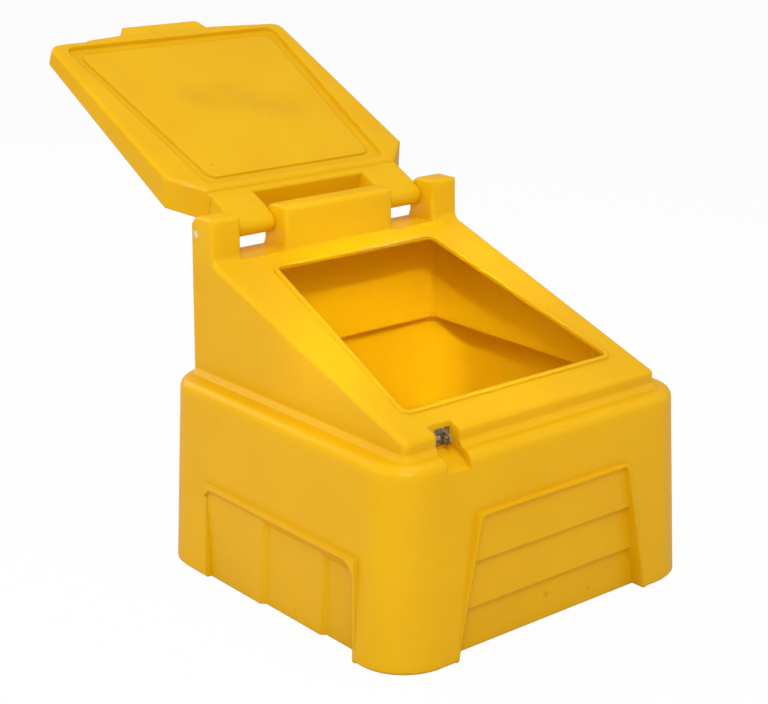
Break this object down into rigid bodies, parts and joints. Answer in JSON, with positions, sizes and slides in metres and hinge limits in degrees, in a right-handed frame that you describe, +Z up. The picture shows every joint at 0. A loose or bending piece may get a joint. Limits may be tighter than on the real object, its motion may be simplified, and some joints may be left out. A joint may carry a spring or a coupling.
{
  "type": "grit salt bin",
  "caption": "Outdoor plastic bin for grit or road salt: flared tub, sloping top with an opening, hinged double-walled lid, padlock staple and hasp.",
  "frame": {"origin": "centre of the tub's footprint, on the ground", "axes": "+Z up, +Y from the front to the hinge side, +X to the right of someone facing the front"},
  "size_m": [0.7394, 1.2447, 0.9398],
  "materials": {
    "body_plastic": "smooth rotomoulded polyethylene, yellow",
    "lid_plastic": "smooth rotomoulded polyethylene, yellow",
    "cap_plastic": "pale grey moulded nylon",
    "galvanised_steel": "zinc-plated steel",
    "rivet_aluminium": "bright aluminium"
  },
  "bodies": {
    "bin": {"bin_body": "body_plastic", "hinge_rod": "galvanised_steel", "rod_cap_left": "cap_plastic", "rod_cap_right": "cap_plastic", "padlock_staple": "galvanised_steel", "staple_backing": "galvanised_steel", "staple_rivets": "rivet_aluminium"},
    "lid_assembly": {"lid": "lid_plastic", "hasp_leaf": "galvanised_steel", "hasp_pin": "galvanised_steel", "hasp_rivets": "rivet_aluminium"},
    "strap": {"hasp_strap": "galvanised_steel"}
  },
  "joints": [
    {"name": "lid_hinge", "type": "hinge", "parent": "bin", "child": "lid_assembly", "pos_m": [0, 0.299, 0.637], "axis": [1, 0, 0], "range_deg": [0, 173.4]},
    {"name": "hasp_hinge", "type": "hinge", "parent": "lid_assembly", "child": "strap", "pos_m": [-0.205, 0.85403, 0.89267], "axis": [1, 0, 0], "range_deg": [-50, 181.8]}
  ]
}
